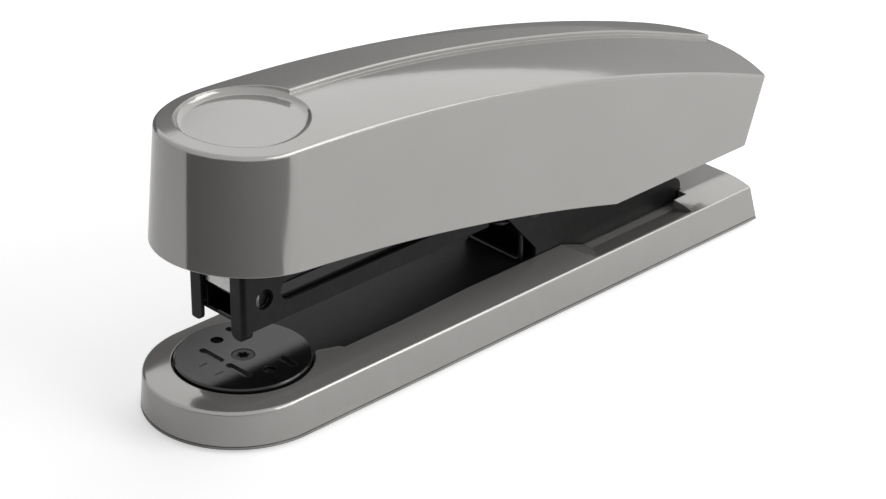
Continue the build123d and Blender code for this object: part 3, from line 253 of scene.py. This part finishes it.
# ---------------------------------------------------------------- wound springs
def wire_piece(name, points, radius, body, slot, replaced):
    """Round wire along a smooth line, standing for a CAD spring."""
    curve = bpy.data.curves.new(name, "CURVE")
    curve.dimensions = "3D"
    curve.bevel_depth = radius
    curve.bevel_resolution = 5
    curve.use_fill_caps = True
    spline = curve.splines.new("POLY")
    spline.points.add(len(points) - 1)
    for target, point in zip(spline.points, points):
        target.co = (*point, 1.0)
    curve.materials.append(finishes[slot])
    drawn = bpy.data.objects.new(name + "_line", curve)
    scene.collection.objects.link(drawn)
    bpy.context.view_layer.update()
    mesh = bpy.data.meshes.new_from_object(drawn.evaluated_get(bpy.context.evaluated_depsgraph_get()))
    bpy.data.objects.remove(drawn)
    return placed(name, mesh, body, replaced)


def placed(name, mesh, body, replaced):
    """Piece with this mesh that rides a body and stands for a CAD node."""
    mesh.name = name
    piece = bpy.data.objects.new(name, mesh)
    scene.collection.objects.link(piece)
    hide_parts(replaced)
    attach(piece, body)
    return piece


steps_per_turn = 28


def helix(start, along, across, length, radius, wire, turns):
    """Line of a compression spring with one close turn at each end; wire is its radius."""
    side = along.cross(across)
    low = 2 * wire
    high = length - 2 * wire
    points = []
    for i in range(turns * steps_per_turn + 1):
        turn = i / steps_per_turn
        if turn <= 1:
            rise = wire + wire * turn
        elif turn >= turns - 1:
            rise = length - wire - wire * (turns - turn)
        else:
            rise = low + (high - low) * (turn - 1) / (turns - 2)
        angle = 2 * math.pi * turn
        points.append(start + along * rise + across * radius * math.cos(angle)
                      + side * radius * math.sin(angle))
    return points


# The follower coil rides the magazine and keeps the length of the CAD spring's box.
low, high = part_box("follower_spring")
follower_wire = 0.225 * MM
follower_turns = 25
middle = (low + high) / 2
follower = wire_piece(
    "follower_coil",
    helix(Vector((middle.x, low.y, middle.z)), Vector((0, 1, 0)), Vector((1, 0, 0)),
          high.y - low.y, (high.x - low.x) / 2 - follower_wire, follower_wire, follower_turns),
    follower_wire, "magazine", "spring_wire", "follower_spring")

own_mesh(follower)

# The lift wire is a copy of the CAD lift spring's mesh and rides the base.
low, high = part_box("lift_spring")
middle = (low + high) / 2
lifter = placed("lift_wire", nodes["lift_spring"].data.copy(), "base", "lift_spring")
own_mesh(lifter)

# The cover coil keeps its length, so the pressed cover's frame cuts through its top. A fold
# follows the joint's longer way, which is the opening, and can't serve the press.
low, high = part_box("cover_spring")
cover_wire = 0.35 * MM
cover_turns = 7
middle = (low + high) / 2
wire_piece(
    "cover_coil",
    helix(Vector((middle.x, middle.y, low.z)), Vector((0, 0, 1)), Vector((1, 0, 0)),
          high.z - low.z, (high.x - low.x) / 2 - cover_wire, cover_wire, cover_turns),
    cover_wire, "magazine", "spring_wire", "cover_spring")


# ---------------------------------------------------------------- floor, light and camera
floor_level = 0.80
floor_glow_seen = 0.55
floor_glow_mirrored = 0.22
floor_half = 1500
card_level = 0.05
wall_reach = 0.25
wall_glow_front, wall_glow_rear = 0.08, 0.36
wall_start_x, wall_start_y, wall_slant = -318, 256.6, 0.7071


def sheet(name, corners, material):
    """A flat card or floor through these corners, in millimetres."""
    mesh = bpy.data.meshes.new(name)
    mesh.from_pydata([Vector(c) * MM for c in corners], [], [tuple(range(len(corners)))])
    mesh.materials.append(material)
    card = bpy.data.objects.new(name, mesh)
    scene.collection.objects.link(card)
    card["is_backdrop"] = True
    return card


def floor_material():
    """White floor that stays white to the eye and keeps the soft shadow."""
    s = Shading("floor_white")
    path = s.add("ShaderNodeLightPath")
    seen = s.math("MAXIMUM", path.outputs["Is Camera Ray"], path.outputs["Is Transmission Ray"])
    mirrored = s.math("MULTIPLY", path.outputs["Is Glossy Ray"], floor_glow_mirrored)
    glow = s.math("MAXIMUM", s.math("MULTIPLY", seen, floor_glow_seen), mirrored)
    return s.set(Base_Color=grey(floor_level), Roughness=0.9, Specular_IOR_Level=0.0,
                 Emission_Color=grey(1.0), Emission_Strength=glow)


def card_material(name, level, glow=0.0):
    s = Shading(name)
    return s.set(Base_Color=grey(level), Roughness=1.0, Specular_IOR_Level=0.0,
                 Emission_Color=grey(1.0), Emission_Strength=glow)


def wall_material():
    """Grey card that brightens towards the stapler's rear."""
    s = Shading("card_grey")
    axes = s.add("ShaderNodeSeparateXYZ")
    s.feed(axes.inputs["Vector"], s.place)
    side = s.math("ADD", axes.outputs["X"], axes.outputs["Y"])
    glow = s.remap(side, -wall_reach, wall_reach, wall_glow_front, wall_glow_rear)
    return s.set(Base_Color=grey(card_level), Roughness=1.0, Specular_IOR_Level=0.0,
                 Emission_Color=grey(1.0), Emission_Strength=glow)


sheet("floor",
      [(-floor_half, -floor_half, 0), (floor_half, -floor_half, 0), (floor_half, floor_half, 0),
       (-floor_half, floor_half, 0)],
      floor_material())


def along_wall(side, height):
    """Corner on the upright card behind the stapler: this far to its right, this high."""
    return (wall_start_x + side * wall_slant, wall_start_y + side * wall_slant, height)


front_flag = sheet(
    "front_flag",
    [(-90, -283, 1), (-8, -125, 1), (60, -63, 1), (132, -48, 1), (180, 37, 1), (420, -43, 1),
     (260, -483, 1)],
    card_material("flag_black", 0.008))
back_wall = sheet(
    "back_wall",
    [along_wall(-520, 0), along_wall(560, 0), along_wall(560, 212), along_wall(-14, 206),
     along_wall(-60, 264), along_wall(-520, 270)],
    wall_material())
low_card = sheet(
    "low_card",
    [along_wall(-300, 1), (-330, 20, 1), (-90, 60, 1), (20, 210, 1), along_wall(520, 1)],
    card_material("card_low", card_level, 0.15))
sky_card = sheet(
    "sky_card",
    [along_wall(-700, 271), along_wall(-60, 265), along_wall(-14, 207), along_wall(560, 213),
     along_wall(900, 1100), along_wall(-700, 1100)],
    card_material("card_bright", card_level, 1.22))
for card in (front_flag, back_wall, low_card, sky_card):
    card.visible_camera = False
    card.visible_diffuse = False
    card.visible_shadow = False


lamp_aim = (0, 0, 0.03)


def softbox(name, place, width, height, level):
    """Rectangular lamp, aimed at the stapler, whose face shows as bright as the given level."""
    lamp = bpy.data.lights.new(name, "AREA")
    lamp.shape = "RECTANGLE"
    lamp.size = width
    lamp.size_y = height
    lamp.energy = level * math.pi * width * height
    holder = bpy.data.objects.new(name, lamp)
    holder.location = place
    holder.rotation_euler = (Vector(place) - Vector(lamp_aim)).to_track_quat("Z", "Y").to_euler()
    holder.visible_camera = False
    scene.collection.objects.link(holder)
    return holder


key = softbox("key_behind", (-0.25, 0.75, 0.75), 1.1, 0.7, 2.2)
key.visible_glossy = False
softbox("side_right", (0.85, 0.35, 0.55), 0.7, 0.6, 2.6)
softbox("edge_strip", (0.50, 0.60, 0.70), 0.5, 0.5, 2.0)
fill = softbox("side_low", (0.90, 0.38, 0.40), 0.6, 0.4, 2.4)
fill.visible_glossy = False

world_fill = 0.22
world_seen = 1.0
world = bpy.data.worlds.new("studio")
scene.world = world
world.use_nodes = True
tree = world.node_tree
background = tree.nodes["Background"]
background.inputs["Color"].default_value = grey(1.0)
path = tree.nodes.new("ShaderNodeLightPath")
seen = path.outputs["Is Camera Ray"]
for ray in ("Is Glossy Ray", "Is Transmission Ray"):
    either = tree.nodes.new("ShaderNodeMath")
    either.operation = "MAXIMUM"
    tree.links.new(seen, either.inputs[0])
    tree.links.new(path.outputs[ray], either.inputs[1])
    seen = either.outputs[0]
level = tree.nodes.new("ShaderNodeMapRange")
level.inputs["To Min"].default_value = world_fill
level.inputs["To Max"].default_value = world_seen
tree.links.new(seen, level.inputs["Value"])
tree.links.new(level.outputs["Result"], background.inputs["Strength"])

camera_place = (0.3950, -0.3844, 0.3025)
camera_back = (0.6378, -0.6132, 0.4661)
sensor_width = 36.0
lens_length = 120.3
camera_data = bpy.data.cameras.new("camera")
camera_data.sensor_width = sensor_width
camera_data.lens = lens_length
camera = bpy.data.objects.new("camera", camera_data)
camera.location = camera_place
camera.rotation_euler = Vector(camera_back).to_track_quat("Z", "Y").to_euler()
scene.collection.objects.link(camera)
scene.camera = camera
scene.view_settings.view_transform = "Standard"

low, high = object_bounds()
